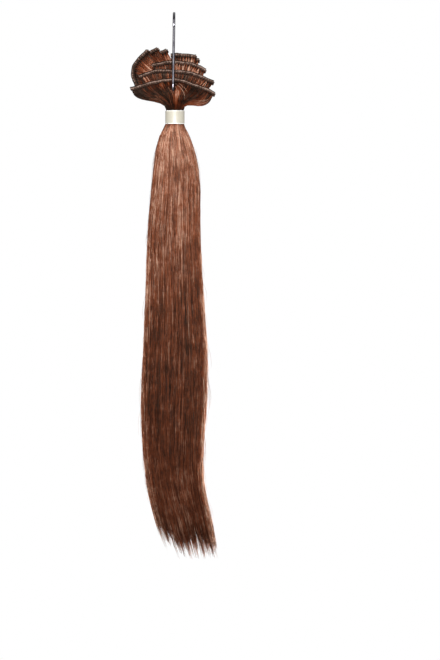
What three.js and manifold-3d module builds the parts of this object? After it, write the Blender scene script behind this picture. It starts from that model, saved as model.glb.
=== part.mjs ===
// A clip in hair extension set as it is stored: eight machine sewn hair wefts of different widths lie on
// each other, a paper band ties them below their sewn tracks, and a bent wire hook carries them.
// Lengths are millimetres and +Z is up. The viewer looks along +Y. The origin is the underside of the
// hook's top bend, where it rests on a rail.
import * as THREE from "three";
import { mergeVertices } from "three/addons/utils/BufferGeometryUtils.js";
import Module from "manifold-3d";

// The hook: round wire bent into an S, seen edge-on from the front.
const WIRE_DIAMETER = 2.6;
const RAIL_BEND_RADIUS = 10; // inside the top bend
const HAIR_BEND_RADIUS = 11.5; // inside the bottom bend
const HAIR_BEND_SHIFT = 1.8; // how far the bottom bend's middle lies behind the top bend's
const HOOK_REACH = 84.5; // from the rail down to the wire's centre at its lowest point
const RAIL_TIP_DEGREES = 190; // where the top bend ends, in front of the rail
const HAIR_TIP_DEGREES = 360; // where the bottom bend ends, behind the hair
const HOOK_LEAN = 1.2; // how far the wire drifts to the left on its way down
const WIRE_SIDES = 8;
const DEGREES_PER_BEND_STEP = 15;

// The paper band and the neck of hair that it grips.
const BAND_WIDTH = 19.4;
const BAND_DEPTH = 18;
const BAND_HEIGHT = 13.5;
const BAND_WALL = 1;
const NECK_LENGTH = 11.4; // from the wire's lowest point down to the band
const BUNDLE_SHIFT = 1.4; // the bundle hangs a little to the right of the hook

// The wefts: a sewn track along the top edge, and the hair that runs from it down into the band.
const FREE_HAIR = 68; // the longest way from the band up to a track's top edge
const TRACK_HEIGHT = 4;
const TRACK_THICKNESS = 1.4;
const TRACK_LIP = 0.7; // the chamfer along a track's top edge
const TRACK_LEAN = 0.1; // how far a track and its clips lean forward for each millimetre down
const HAIR_THICKNESS = 1; // of a weft's hair just below its track
const LAYER_PITCH = 3.4; // from one weft to the one behind it, at the tracks
const NECK_BOW = 0.3; // how far each layer wraps round the neck, as a share of its depth
const NECK_GAP = 0.45; // between two layers at the neck
const SPRING = 0.25; // how far the hair keeps on across its track's edge, as a share of its fall
const HAIR_RIPPLE = 0.3; // height of the soft waves that run down the wefts' hair
const RIPPLE_DEGREES = 13; // from wave to wave, about the neck
const STEP_ALONG_TRACK = 4.6;
const STEPS_DOWN_HAIR = 7;

// The snap clips, sewn behind the tracks.
const CLIP_LENGTH = 24;
const CLIP_WIDTH = 6.4;
const CLIP_THICKNESS = 1;
const CLIP_SLOT_WIDTH = 1.1;
const CLIP_TOOTH_LENGTH = 2;
const CLIP_TEETH = 5;
const CLIP_FIT = 0.4; // between a clip and its track, the room that the stitches take

// The tail of loose hair below the band.
const TAIL_LENGTH = 431;
const TAIL_WIDTH = 66;
const TAIL_DEPTH = 26;
const TAIL_LOCKS = 18;
const LOCK_RELIEF = 1.3; // how far the hollow between two locks lies behind their crests

const FIT = 0.3; // the gap between two pieces that touch

// One row for each weft, from the front to the back. Layer is how many pitches it lies behind the
// wire's shank, bulge is how far its hair swells forward in pitches, spring is SPRING at its left and
// right end, and clips lists where its snap clips sit as shares of the track's length. Its stations run from the track's left end to its right
// end: swing is the angle about the neck in degrees, to the right of straight up, reach is a share
// of FREE_HAIR, and back is in pitches.
const WEFTS = [
  { name: "1", layer: 0, bulge: 1.15, spring: [0.36, 0.52], crown: 2, clips: [0.2, 0.8], stations: [
    { swing: -63, reach: 0.735, back: 0.6 },
    { swing: -47, reach: 0.583, back: 0.1 },
    { swing: -3.4, reach: 0.47, back: 0 },
    { swing: 44.8, reach: 0.516, back: 0.1 },
    { swing: 66, reach: 0.65, back: 0.6 },
  ] },
  { name: "2", layer: 0.18, bulge: 0, spring: [0.25, 0.4], crown: 2, clips: [0.2, 0.8], stations: [
    { swing: -46, reach: 0.744, back: 0.6 },
    { swing: -26.5, reach: 0.662, back: 0.1 },
    { swing: -2.7, reach: 0.598, back: 0 },
    { swing: 30, reach: 0.63, back: 0.1 },
    { swing: 53.3, reach: 0.716, back: 0.6 },
  ] },
  { name: "3", layer: 0.5, bulge: 0, spring: [0.25, 0.4], crown: 1, clips: [0.55], stations: [
    { swing: -25.7, reach: 0.766, back: 0.2 },
    { swing: 0.7, reach: 0.733, back: 0 },
    { swing: 20.8, reach: 0.744, back: 0 },
    { swing: 37, reach: 0.768, back: 0.1 },
  ] },
  { name: "4", layer: 1.12, bulge: 0, spring: [0.25, 0.3], crown: 0, clips: [0.5], stations: [
    { swing: -4, reach: 0.835, back: 0 },
    { swing: 9.7, reach: 0.849, back: 0 },
    { swing: 20.8, reach: 0.881, back: 0.1 },
  ] },
  { name: "5", layer: 2.34, bulge: 0, spring: [0.25, 0.3], crown: 0, clips: [0.5], stations: [
    { swing: -1, reach: 0.8, back: 0 },
    { swing: 13, reach: 0.815, back: 0 },
    { swing: 25.2, reach: 0.843, back: 0.1 },
  ] },
  { name: "6", layer: 2.6, bulge: 0, spring: [0.25, 0.25], crown: 3, clips: [0.55], stations: [
    { swing: -58.7, reach: 0.682, back: 0 },
    { swing: -50, reach: 0.834, back: 0 },
    { swing: -40.1, reach: 0.932, back: 0 },
    { swing: -24.8, reach: 0.995, back: 0 },
  ] },
  { name: "7", layer: 3.32, bulge: 0, spring: [0.25, 0.25], crown: 3, clips: [0.55], stations: [
    { swing: -53, reach: 0.7, back: 0 },
    { swing: -43, reach: 0.83, back: 0 },
    { swing: -30, reach: 0.925, back: 0 },
    { swing: -16, reach: 0.978, back: 0 },
  ] },
  { name: "8", layer: 4.32, bulge: 0, spring: [0.25, 0.25], crown: 3, clips: [0.55], stations: [
    { swing: -47, reach: 0.7, back: 0 },
    { swing: -36, reach: 0.8, back: 0 },
    { swing: -22, reach: 0.885, back: 0 },
    { swing: -8.1, reach: 0.928, back: 0 },
  ] },
];

// One row for each section of the tail. Down is a share of TAIL_LENGTH, shift and width are shares
// of TAIL_WIDTH, and depth is a share of TAIL_DEPTH.
const TAIL_SECTIONS = [
  { down: 0.019, shift: -0.006, width: 0.4, depth: 0.76 },
  { down: 0.056, shift: 0.004, width: 0.568, depth: 0.86 },
  { down: 0.128, shift: 0.016, width: 0.717, depth: 0.95 },
  { down: 0.233, shift: -0.012, width: 0.785, depth: 1 },
  { down: 0.384, shift: -0.005, width: 0.874, depth: 1 },
  { down: 0.533, shift: 0.004, width: 0.974, depth: 1 },
  { down: 0.64, shift: -0.011, width: 1, depth: 1 },
  { down: 0.747, shift: -0.027, width: 0.93, depth: 0.96 },
  { down: 0.842, shift: 0.018, width: 0.864, depth: 0.9 },
  { down: 0.93, shift: 0.152, width: 0.85, depth: 0.78 },
];
const TIP = { shift: 0.27, width: 0.8, depth: 0.55 }; // of the cut ends, in the same shares
const TIP_HOLLOW = { valley: 0.968, middle: 0.94 }; // how far down the gaps between the tips reach
const TIP_UNEVENNESS = 0.022; // the spread of the tips' lengths, as a share of TAIL_LENGTH

const wasm = await Module();
wasm.setup();

const neckZ = -(HOOK_REACH + NECK_LENGTH);
const bandBottomZ = neckZ - BAND_HEIGHT;
const railBend = { radius: RAIL_BEND_RADIUS + WIRE_DIAMETER / 2, y: 0, z: -RAIL_BEND_RADIUS };
const hairBend = { radius: HAIR_BEND_RADIUS + WIRE_DIAMETER / 2, y: HAIR_BEND_SHIFT };
hairBend.z = -HOOK_REACH + hairBend.radius;
// The shank is the straight that touches both bends from opposite sides. Its tilt is from upright.
const bendDrop = railBend.z - hairBend.z;
const bendSpan = Math.hypot(bendDrop, HAIR_BEND_SHIFT);
const shankTilt =
  Math.asin((railBend.radius + hairBend.radius) / bendSpan) - Math.atan2(HAIR_BEND_SHIFT, bendDrop);

function lerp(a, b, t) {
  return a + (b - a) * t;
}

function solidFrom(geometry) {
  const bare = new THREE.BufferGeometry().setAttribute("position", geometry.getAttribute("position"));
  if (geometry.index) bare.setIndex(geometry.index);
  const merged = mergeVertices(bare, 1e-4);
  const vertProperties = new Float32Array(merged.attributes.position.array);
  return new wasm.Manifold(
    new wasm.Mesh({ numProp: 3, vertProperties, triVerts: new Uint32Array(merged.index.array) }),
  );
}

function geometryFrom(solid) {
  const mesh = solid.getMesh();
  const positions = new Float32Array(mesh.numVert * 3);
  for (let i = 0; i < mesh.numVert; i++) {
    positions.set(mesh.vertProperties.subarray(i * mesh.numProp, i * mesh.numProp + 3), i * 3);
  }
  return new THREE.BufferGeometry()
    .setAttribute("position", new THREE.BufferAttribute(positions, 3))
    .setIndex(new THREE.BufferAttribute(mesh.triVerts, 1));
}

// Closes a row of equal rings of points into a solid. The last ring may be capped on a given centre.
function loft(rings, lastCentre) {
  const count = rings[0].length;
  const points = rings.flat();
  const faces = [];
  for (let r = 0; r + 1 < rings.length; r++) {
    for (let i = 0; i < count; i++) {
      const a = r * count + i;
      const b = r * count + ((i + 1) % count);
      faces.push(a, a + count, b, b, a + count, b + count);
    }
  }
  const middle = (ring) =>
    ring.reduce((sum, p) => sum.add(p), new THREE.Vector3()).divideScalar(ring.length);
  const first = points.push(middle(rings[0])) - 1;
  const last = points.push(lastCentre ?? middle(rings.at(-1))) - 1;
  const lastRing = (rings.length - 1) * count;
  for (let i = 0; i < count; i++) {
    const next = (i + 1) % count;
    faces.push(first, i, next, last, lastRing + next, lastRing + i);
  }
  return new THREE.BufferGeometry().setFromPoints(points).setIndex(faces);
}

// The wire's centre line: the top bend from its tip in front, the shank, and the bottom bend.
class HookLine extends THREE.Curve {
  constructor() {
    super();
    const tilt = THREE.MathUtils.radToDeg(shankTilt);
    this.points = [
      ...bendPoints(railBend, RAIL_TIP_DEGREES, -tilt),
      ...bendPoints(hairBend, 180 - tilt, HAIR_TIP_DEGREES),
    ];
    this.lengths = [0];
    for (let i = 1; i < this.points.length; i++) {
      this.lengths.push(this.lengths[i - 1] + this.points[i].distanceTo(this.points[i - 1]));
    }
  }

  getPoint(t, target = new THREE.Vector3()) {
    const along = t * this.lengths.at(-1);
    let i = 1;
    while (i < this.lengths.length - 1 && this.lengths[i] < along) i++;
    const share = (along - this.lengths[i - 1]) / (this.lengths[i] - this.lengths[i - 1]);
    return target.lerpVectors(this.points[i - 1], this.points[i], share);
  }
}

function bendPoints(bend, fromDegrees, toDegrees) {
  const steps = Math.ceil(Math.abs(toDegrees - fromDegrees) / DEGREES_PER_BEND_STEP);
  return Array.from({ length: steps + 1 }, (_, i) => {
    const angle = THREE.MathUtils.degToRad(lerp(fromDegrees, toDegrees, i / steps));
    const z = bend.z + bend.radius * Math.sin(angle);
    return new THREE.Vector3(hookX(z), bend.y + bend.radius * Math.cos(angle), z);
  });
}

function hookX(z) {
  return HOOK_LEAN * (0.5 + z / HOOK_REACH);
}

// A round bar along the wire, made of one ring for each bend step.
function wireGeometry(radius) {
  const line = new HookLine().points;
  const rings = line.map((point, i) => {
    const ahead = line[Math.min(i + 1, line.length - 1)].clone();
    const tangent = ahead.sub(line[Math.max(i - 1, 0)]).normalize();
    const side = new THREE.Vector3(1, 0, 0).projectOnPlane(tangent).normalize();
    const up = side.clone().cross(tangent);
    return Array.from({ length: WIRE_SIDES }, (_, k) => {
      const angle = (2 * Math.PI * (k + 0.5)) / WIRE_SIDES;
      return point
        .clone()
        .addScaledVector(side, radius * Math.cos(angle))
        .addScaledVector(up, radius * Math.sin(angle));
    });
  });
  return loft(rings);
}

// The Y of a track that leans on the back of the shank at height z.
function behindShank(z) {
  const shankY = railBend.radius / Math.cos(shankTilt) + (z - railBend.z) * Math.tan(shankTilt);
  const wireHalf = WIRE_DIAMETER / 2 / Math.cos(shankTilt);
  return shankY + wireHalf + FIT + TRACK_THICKNESS / 2;
}

function stationPoint(station) {
  const swing = THREE.MathUtils.degToRad(station.swing);
  const reach = station.reach * FREE_HAIR;
  return { x: BUNDLE_SHIFT + reach * Math.sin(swing), z: neckZ + reach * Math.cos(swing) };
}

// The line along the top edge of a weft's track.
function trackLine(weft) {
  const crownY = behindShank(stationPoint(weft.stations[weft.crown]).z) + weft.layer * LAYER_PITCH;
  return new THREE.CatmullRomCurve3(
    weft.stations.map((station) => {
      const { x, z } = stationPoint(station);
      return new THREE.Vector3(x, crownY + station.back * LAYER_PITCH, z);
    }),
    false,
    "centripetal",
  );
}

// A point of the track line, the direction along it, and the direction from it down the weft.
function trackFrame(line, u) {
  const point = line.getPointAt(u);
  const tangent = line.getTangentAt(u);
  const along = new THREE.Vector3(tangent.x, 0, tangent.z).normalize();
  const inward = new THREE.Vector3(along.z, -TRACK_LEAN, -along.x).normalize();
  return { point, tangent, inward };
}

function stepsAlong(line) {
  return Math.ceil(line.getLength() / STEP_ALONG_TRACK);
}

function trackGeometry(weft) {
  const line = trackLine(weft);
  const half = TRACK_THICKNESS / 2;
  const profile = [
    [0, half - TRACK_LIP / 2],
    [TRACK_LIP, half],
    [TRACK_HEIGHT, half],
    [TRACK_HEIGHT, -half],
    [TRACK_LIP, -half],
    [0, -half + TRACK_LIP / 2],
  ];
  const steps = stepsAlong(line);
  const rings = Array.from({ length: steps + 1 }, (_, i) => {
    const { point, inward } = trackFrame(line, i / steps);
    return profile.map(([into, back]) => {
      const corner = point.clone().addScaledVector(inward, into);
      corner.y += back;
      return corner;
    });
  });
  return loft(rings);
}

// The middle of a weft's sheet of hair at u along the track and v down to the neck, and its thickness.
function hairPoint(weft, line, index, u, v) {
  const { point, inward } = trackFrame(line, u);
  const start = point.clone().addScaledVector(inward, TRACK_HEIGHT + FIT);
  const pitch = BAND_DEPTH / WEFTS.length - FIT / 2;
  const layerY = (index - (WEFTS.length - 1) / 2) * pitch;
  const across = 2 * u - 1;
  const fromMiddle = across * Math.sqrt(1 - (2 * layerY / (BAND_DEPTH + pitch)) ** 2);
  const wrap = 1 - NECK_BOW * fromMiddle * fromMiddle;
  const endX = BUNDLE_SHIFT + (fromMiddle * BAND_WIDTH) / 2;
  const end = new THREE.Vector3(endX, layerY * wrap, neckZ + FIT);
  const endSpring = weft.spring[across < 0 ? 0 : 1];
  const spring = lerp(SPRING, endSpring, across * across) * start.distanceTo(end);
  const leave = start.clone().addScaledVector(inward, spring);
  const enter = end.clone().add(new THREE.Vector3(across * NECK_LENGTH / 4, 0, NECK_LENGTH));
  const sheet = new THREE.CubicBezierCurve3(start, leave, enter, end).getPoint(v);
  const height = (sheet.z - end.z) / (start.z - end.z);
  const swell = Math.sin(Math.PI * v);
  const swing = THREE.MathUtils.radToDeg(Math.atan2(sheet.x - BUNDLE_SHIFT, sheet.z - neckZ));
  sheet.y = lerp(end.y, start.y, height);
  sheet.y -= weft.bulge * LAYER_PITCH * swell * (1 - across * across);
  sheet.y += HAIR_RIPPLE * swell * Math.sin((2 * Math.PI * swing) / RIPPLE_DEGREES);
  return { sheet, thickness: lerp(pitch * wrap - NECK_GAP, HAIR_THICKNESS, height) };
}

function hairGeometry(weft, index) {
  const line = trackLine(weft);
  const steps = stepsAlong(line);
  const rings = Array.from({ length: STEPS_DOWN_HAIR + 1 }, (_, row) => {
    const front = [];
    const back = [];
    for (let i = 0; i <= steps; i++) {
      const { sheet, thickness } = hairPoint(weft, line, index, i / steps, row / STEPS_DOWN_HAIR);
      front.push(sheet.clone().setY(sheet.y - thickness / 2));
      back.unshift(sheet.clone().setY(sheet.y + thickness / 2));
    }
    return [...front, ...back];
  });
  return stripCapped(rings, steps);
}

// Like loft, but for rings that are a front row and a back row: the end caps are strips of quads.
function stripCapped(rings, steps) {
  const count = rings[0].length;
  const faces = [];
  for (let r = 0; r + 1 < rings.length; r++) {
    for (let i = 0; i < count; i++) {
      const a = r * count + i;
      const b = r * count + ((i + 1) % count);
      faces.push(a, a + count, b, b, a + count, b + count);
    }
  }
  const lastRing = (rings.length - 1) * count;
  for (let i = 0; i < steps; i++) {
    const mirror = count - 1 - i;
    faces.push(i, i + 1, mirror, i + 1, mirror - 1, mirror);
    const [a, b, c, d] = [i, i + 1, mirror - 1, mirror].map((k) => lastRing + k);
    faces.push(a, d, b, b, d, c);
  }
  return new THREE.BufferGeometry().setFromPoints(rings.flat()).setIndex(faces);
}

// A stamped snap clip: a bowed frame with a tongue between two slots, and a comb along its lower edge.
function clipGeometry() {
  const halfLength = CLIP_LENGTH / 2;
  const halfWidth = CLIP_WIDTH / 2;
  const combHalf = halfLength - halfWidth;
  const shape = new THREE.Shape();
  shape.moveTo(combHalf, -halfWidth);
  shape.absarc(combHalf, 0, halfWidth, -Math.PI / 2, Math.PI / 2, false);
  shape.absarc(-combHalf, 0, halfWidth, Math.PI / 2, (3 * Math.PI) / 2, false);
  const toothPitch = (2 * combHalf) / CLIP_TEETH;
  for (let i = 0; i < CLIP_TEETH; i++) {
    const left = -combHalf + toothPitch * (i + 0.25);
    const right = left + toothPitch / 2;
    shape.lineTo(left, -halfWidth);
    shape.lineTo(left, -halfWidth - CLIP_TOOTH_LENGTH);
    shape.lineTo(right, -halfWidth - CLIP_TOOTH_LENGTH);
    shape.lineTo(right, -halfWidth);
  }
  for (const side of [-1, 1]) {
    const middle = (side * halfWidth) / 2;
    const low = middle - CLIP_SLOT_WIDTH / 2;
    const high = middle + CLIP_SLOT_WIDTH / 2;
    const slot = new THREE.Path();
    slot.moveTo(-combHalf, low);
    slot.lineTo(-combHalf, high);
    slot.lineTo(combHalf, high);
    slot.lineTo(combHalf, low);
    slot.closePath();
    shape.holes.push(slot);
  }
  const options = { depth: CLIP_THICKNESS, bevelEnabled: false, curveSegments: 4 };
  return new THREE.ExtrudeGeometry(shape, options);
}

// Places a clip flat against the back of a track, low enough that its ends stay behind the weft.
function seatClip(clip, line, at) {
  const { point, tangent, inward } = trackFrame(line, at);
  const up = inward.clone().negate().projectOnPlane(tangent).normalize();
  const front = tangent.clone().cross(up);
  const reach = CLIP_LENGTH / 2 / line.getLength();
  const offsets = [-1, -0.75, -0.5, -0.25, 0.25, 0.5, 0.75, 1].map((share) => {
    const u = THREE.MathUtils.clamp(at + share * reach, 0, 1);
    return line.getPointAt(u).sub(point);
  });
  // The clip is straight, so it drops and stands off by as much as the track curves within its length.
  const drop = Math.max(0, ...offsets.map((offset) => offset.dot(inward)));
  const standOff = Math.max(0, ...offsets.map((offset) => -offset.dot(front)));
  const seat = point
    .clone()
    .addScaledVector(inward, CLIP_WIDTH / 2 + drop)
    .addScaledVector(front, -(TRACK_THICKNESS / 2 + CLIP_FIT + CLIP_THICKNESS + standOff));
  clip.matrixAutoUpdate = false;
  clip.matrix.makeBasis(tangent, up, front).setPosition(seat);
}

// A level ellipse about the bundle, three points to a lock of the tail. Every third point is a valley
// between two locks.
function bundleRing(shift, width, depth, z, relief = 0) {
  const count = TAIL_LOCKS * 3;
  return Array.from({ length: count }, (_, i) => {
    const angle = (2 * Math.PI * (i + 0.5)) / count;
    const inset = i % 3 === 0 ? relief : 0;
    return new THREE.Vector3(
      BUNDLE_SHIFT + shift + (width / 2 - inset) * Math.cos(angle),
      (depth / 2 - inset) * Math.sin(angle),
      z,
    );
  });
}

function gripRing(inset, z) {
  return bundleRing(0, BAND_WIDTH - 2 * inset, BAND_DEPTH - 2 * inset, z);
}

function bandGeometry() {
  const outer = solidFrom(loft([gripRing(0, neckZ), gripRing(0, bandBottomZ)]));
  const inner = loft([gripRing(BAND_WALL, neckZ + 1), gripRing(BAND_WALL, bandBottomZ - 1)]);
  return geometryFrom(outer.subtract(solidFrom(inner)));
}

function tailRing({ shift, width, depth }, z) {
  return bundleRing(shift * TAIL_WIDTH, width * TAIL_WIDTH, depth * TAIL_DEPTH, z, LOCK_RELIEF);
}

function tailGeometry() {
  const gripped = BAND_WALL + FIT;
  const rings = [gripRing(gripped, neckZ), gripRing(gripped, bandBottomZ - FIT)];
  for (const section of TAIL_SECTIONS) {
    rings.push(tailRing(section, bandBottomZ - section.down * TAIL_LENGTH));
  }
  // Every lock ends in a tip of its own length, and the gaps between the tips run higher up.
  const tips = tailRing(TIP, 0);
  tips.forEach((point, i) => {
    const lock = Math.floor(i / 3);
    const shortfall = TIP_UNEVENNESS * (0.5 + 0.5 * Math.sin(lock * 2.4));
    const down = i % 3 === 0 ? TIP_HOLLOW.valley - shortfall / 2 : 1 - shortfall;
    point.z = bandBottomZ - down * TAIL_LENGTH;
  });
  const middle = new THREE.Vector3(
    BUNDLE_SHIFT + lerp(TAIL_SECTIONS.at(-1).shift, TIP.shift, 0.2) * TAIL_WIDTH,
    0,
    bandBottomZ - TIP_HOLLOW.middle * TAIL_LENGTH,
  );
  return loft([...rings, tips], middle);
}

const dyedHair = new THREE.MeshStandardMaterial({ color: 0x6b3e2c, roughness: 0.5, metalness: 0 });
const sewnTrack = new THREE.MeshStandardMaterial({ color: 0x3f302a, roughness: 0.85, metalness: 0 });
const blackNickel = new THREE.MeshStandardMaterial({ color: 0x3a3a40, roughness: 0.25, metalness: 1 });
const ivoryPaper = new THREE.MeshStandardMaterial({ color: 0xece9dc, roughness: 0.45, metalness: 0 });
const paintedSteel = new THREE.MeshStandardMaterial({ color: 0x2b211d, roughness: 0.4, metalness: 0.6 });

const set = new THREE.Group();

function add(name, geometry, material) {
  const mesh = new THREE.Mesh(geometry, material);
  mesh.name = name;
  set.add(mesh);
  return mesh;
}

const roomRadius = WIRE_DIAMETER / 2 + FIT / Math.cos(Math.PI / WIRE_SIDES);
const wireRoom = solidFrom(wireGeometry(roomRadius));
add("wire_hook", wireGeometry(WIRE_DIAMETER / 2), blackNickel);
add("paper_band", bandGeometry(), ivoryPaper);
add("hair_tail", tailGeometry(), dyedHair);
WEFTS.forEach((weft, index) => {
  const hair = solidFrom(hairGeometry(weft, index)).subtract(wireRoom);
  add(`weft_hair_${weft.name}`, geometryFrom(hair), dyedHair);
  const track = solidFrom(trackGeometry(weft)).subtract(wireRoom);
  add(`weft_track_${weft.name}`, geometryFrom(track), sewnTrack);
  weft.clips.forEach((at, i) => {
    const clip = add(`snap_clip_${weft.name}${"ab"[i]}`, clipGeometry(), paintedSteel);
    seatClip(clip, trackLine(weft), at);
  });
});

export default set;
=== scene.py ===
import math

import bpy
import numpy as np
from mathutils import Matrix, Vector


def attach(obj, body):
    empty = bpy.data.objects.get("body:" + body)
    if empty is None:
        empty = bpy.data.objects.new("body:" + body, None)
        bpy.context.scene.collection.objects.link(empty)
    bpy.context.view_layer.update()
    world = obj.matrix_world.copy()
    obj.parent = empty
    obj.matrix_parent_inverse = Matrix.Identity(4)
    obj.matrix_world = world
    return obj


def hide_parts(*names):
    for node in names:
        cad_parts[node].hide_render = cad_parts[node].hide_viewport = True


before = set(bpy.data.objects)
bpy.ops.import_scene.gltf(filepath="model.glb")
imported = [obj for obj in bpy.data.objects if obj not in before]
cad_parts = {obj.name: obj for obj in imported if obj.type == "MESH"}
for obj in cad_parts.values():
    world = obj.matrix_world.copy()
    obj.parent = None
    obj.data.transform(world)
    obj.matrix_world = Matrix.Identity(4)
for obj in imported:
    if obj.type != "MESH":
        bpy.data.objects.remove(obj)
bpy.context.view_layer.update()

# The hook: about 18 cm of 2.6 mm steel wire, bent cold into an S and plated in black nickel. The top
# bend carries the set, the shank runs down in front of the wefts, and the bottom bend goes back
# through their hair. Sizes are millimetres down to the studio, and add_mesh turns them to metres.
WIRE_RADIUS = 1.3
TOP_BEND_RADIUS = 11.3  # to the wire's middle, as the next one is
HAIR_BEND_RADIUS = 12.8
HAIR_BEND_BACK = 1.8  # how far the bottom bend's middle lies behind the top bend's
HOOK_REACH = 84.5
HOOK_LEAN = 1.2
TOP_TIP = math.radians(190)
HAIR_TIP = math.radians(360)
BEND_STEPS = 64
SHANK_STEPS = 24
WIRE_SIDES = 20

top_bend_z = -TOP_BEND_RADIUS + WIRE_RADIUS
hair_bend_z = -HOOK_REACH + HAIR_BEND_RADIUS
bend_drop = top_bend_z - hair_bend_z
shank_tilt = math.asin((TOP_BEND_RADIUS + HAIR_BEND_RADIUS) / math.hypot(bend_drop, HAIR_BEND_BACK))
shank_tilt -= math.atan2(HAIR_BEND_BACK, bend_drop)


def linear(hex_colour):
    """An sRGB hex colour as linear RGBA."""
    parts = [int(hex_colour[i : i + 2], 16) / 255 for i in (1, 3, 5)]
    return (*(c / 12.92 if c <= 0.04045 else ((c + 0.055) / 1.055) ** 2.4 for c in parts), 1)


def add_node(tree, kind, settings=None, inputs=None):
    """Adds a node with its settings; an input that is a socket is linked, any other is a value."""
    made = tree.nodes.new(kind)
    for name, value in (settings or {}).items():
        setattr(made, name, value)
    for name, value in (inputs or {}).items():
        if isinstance(value, bpy.types.NodeSocket):
            tree.links.new(value, made.inputs[name])
        else:
            made.inputs[name].default_value = value
    return made


def new_material(name):
    """An empty node material, and its node tree."""
    material = bpy.data.materials.new(name)
    material.use_nodes = True
    material.node_tree.nodes.clear()
    return material, material.node_tree


def unit(vectors):
    """The same directions at length 1."""
    return vectors / np.maximum(np.linalg.norm(vectors, axis=-1, keepdims=True), 1e-9)


def add_mesh(name, points, faces, material, tones=None, flow=None):
    """Makes a piece that rides on the part. Each array in faces holds faces of as many corners. Tones
    and flow are a number and a vector for each point, which the materials read."""
    mesh = bpy.data.meshes.new(name)
    corners = np.concatenate([rows.ravel() for rows in faces]).astype(np.int32)
    counts = np.concatenate([np.full(len(rows), rows.shape[1]) for rows in faces])
    mesh.vertices.add(len(points))
    mesh.vertices.foreach_set("co", (points * 0.001).astype(np.float32).ravel())
    mesh.loops.add(len(corners))
    mesh.loops.foreach_set("vertex_index", corners)
    mesh.polygons.add(len(counts))
    mesh.polygons.foreach_set("loop_start", (np.cumsum(counts) - counts).astype(np.int32))
    mesh.update(calc_edges=True)
    mesh.validate()
    mesh.shade_smooth()
    if tones is not None:
        attribute = mesh.attributes.new("tone", "FLOAT", "POINT")
        attribute.data.foreach_set("value", tones.astype(np.float32).ravel())
    if flow is not None:
        attribute = mesh.attributes.new("flow", "FLOAT_VECTOR", "POINT")
        attribute.data.foreach_set("vector", flow.astype(np.float32).ravel())
    mesh.materials.append(material)
    piece = bpy.data.objects.new(name, mesh)
    bpy.context.scene.collection.objects.link(piece)
    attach(piece, "root")
    return piece


def ring_walls(rings, sides, turned=False):
    """The faces between each ring of points and the next one. Turned is for rings that run the other
    way round."""
    a = (np.arange(rings - 1) * sides)[:, None] + np.arange(sides)
    b = (np.arange(rings - 1) * sides)[:, None] + (np.arange(sides) + 1) % sides
    corners = (a, b, b + sides, a + sides) if turned else (a, a + sides, b + sides, b)
    return np.stack(corners, axis=-1).reshape(-1, 4)


def bars(paths, radii, sides, twist=0.0, across=(0.0, 1.0, 0.0)):
    """Round bars along paths of points, closed at both ends, as points and faces. Across is a vector
    that no path runs along."""
    count, steps = paths.shape[:2]
    along = unit(np.gradient(paths, axis=1))
    side = unit(np.cross(along, np.broadcast_to(across, along.shape)))
    up = np.cross(along, side)
    angles = np.arange(sides) * 2 * math.pi / sides
    angles = angles + np.asarray(twist).reshape(-1, 1, 1)
    radii = np.broadcast_to(radii, (count, steps))[:, :, None, None]
    ring = np.cos(angles)[..., None] * side[:, :, None] + np.sin(angles)[..., None] * up[:, :, None]
    points = (paths[:, :, None] + radii * ring).reshape(-1, 3)
    first = (np.arange(count) * steps * sides)[:, None, None]
    walls = (first + ring_walls(steps, sides, turned=True)).reshape(-1, 4)
    start_caps = (first[:, 0] + np.arange(sides)[::-1]).reshape(count, sides)
    end_caps = first[:, 0] + (steps - 1) * sides + np.arange(sides)
    return points, [walls, start_caps, end_caps]


def bend(z, back, radius, start, stop):
    """One bend of the wire round its middle, between two angles."""
    angle = np.linspace(start, stop, BEND_STEPS)
    return np.stack([0 * angle, back + radius * np.cos(angle), z + radius * np.sin(angle)], axis=1)


top = bend(top_bend_z, 0, TOP_BEND_RADIUS, TOP_TIP, -shank_tilt)
bottom = bend(hair_bend_z, HAIR_BEND_BACK, HAIR_BEND_RADIUS, math.pi - shank_tilt, HAIR_TIP)
shank = top[-1] + np.linspace(0, 1, SHANK_STEPS)[1:-1, None] * (bottom[0] - top[-1])
wire = np.concatenate([top, shank, bottom])
# The cut ends are tumbled round: the wire closes over its last radius.
round_off = np.linspace(0, math.pi / 2, 7)[1:-1]
start_cap = wire[0] + unit(wire[0] - wire[1]) * WIRE_RADIUS * np.sin(round_off)[::-1, None]
end_cap = wire[-1] + unit(wire[-1] - wire[-2]) * WIRE_RADIUS * np.sin(round_off)[:, None]
wire = np.concatenate([start_cap, wire, end_cap])
wire[:, 0] = HOOK_LEAN * (0.5 + wire[:, 2] / HOOK_REACH)
wire_radii = np.full(len(wire), WIRE_RADIUS)
wire_radii[: len(round_off)] = WIRE_RADIUS * np.cos(round_off)[::-1]
wire_radii[-len(round_off) :] = WIRE_RADIUS * np.cos(round_off)

# Black nickel on drawn steel: a dark mirror with faint draw marks 0.1 mm apart along the wire and soft
# smudges 6 mm long. Its colour is painted lighter in patches of 11 mm, a painted highlight that makes
# the shine come and go along the wire.
black_nickel, tree = new_material("black_nickel_plating")
place = add_node(tree, "ShaderNodeTexCoord").outputs["Object"]
smudges = add_node(tree, "ShaderNodeTexNoise", inputs={"Vector": place, "Scale": 180.0, "Detail": 3.0})
gloss = add_node(
    tree,
    "ShaderNodeMapRange",
    inputs={
        "Value": smudges.outputs["Fac"],
        "From Min": 0.3,
        "From Max": 0.7,
        "To Min": 0.12,
        "To Max": 0.26,
    },
)
# Painted highlight: in these patches the plating is drawn lighter, so that the shine comes and goes along
# the wire.
patches = add_node(tree, "ShaderNodeTexNoise", inputs={"Vector": place, "Scale": 90.0, "Detail": 3.0})
wear_and_highlight = add_node(
    tree, "ShaderNodeMapRange", inputs={"Value": patches.outputs["Fac"], "From Min": 0.38, "From Max": 0.62}
)
plating = add_node(
    tree,
    "ShaderNodeMix",
    {"data_type": "RGBA"},
    {"Factor": wear_and_highlight.outputs["Result"], 6: linear("#65626a"), 7: linear("#96959b")},
)
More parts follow.
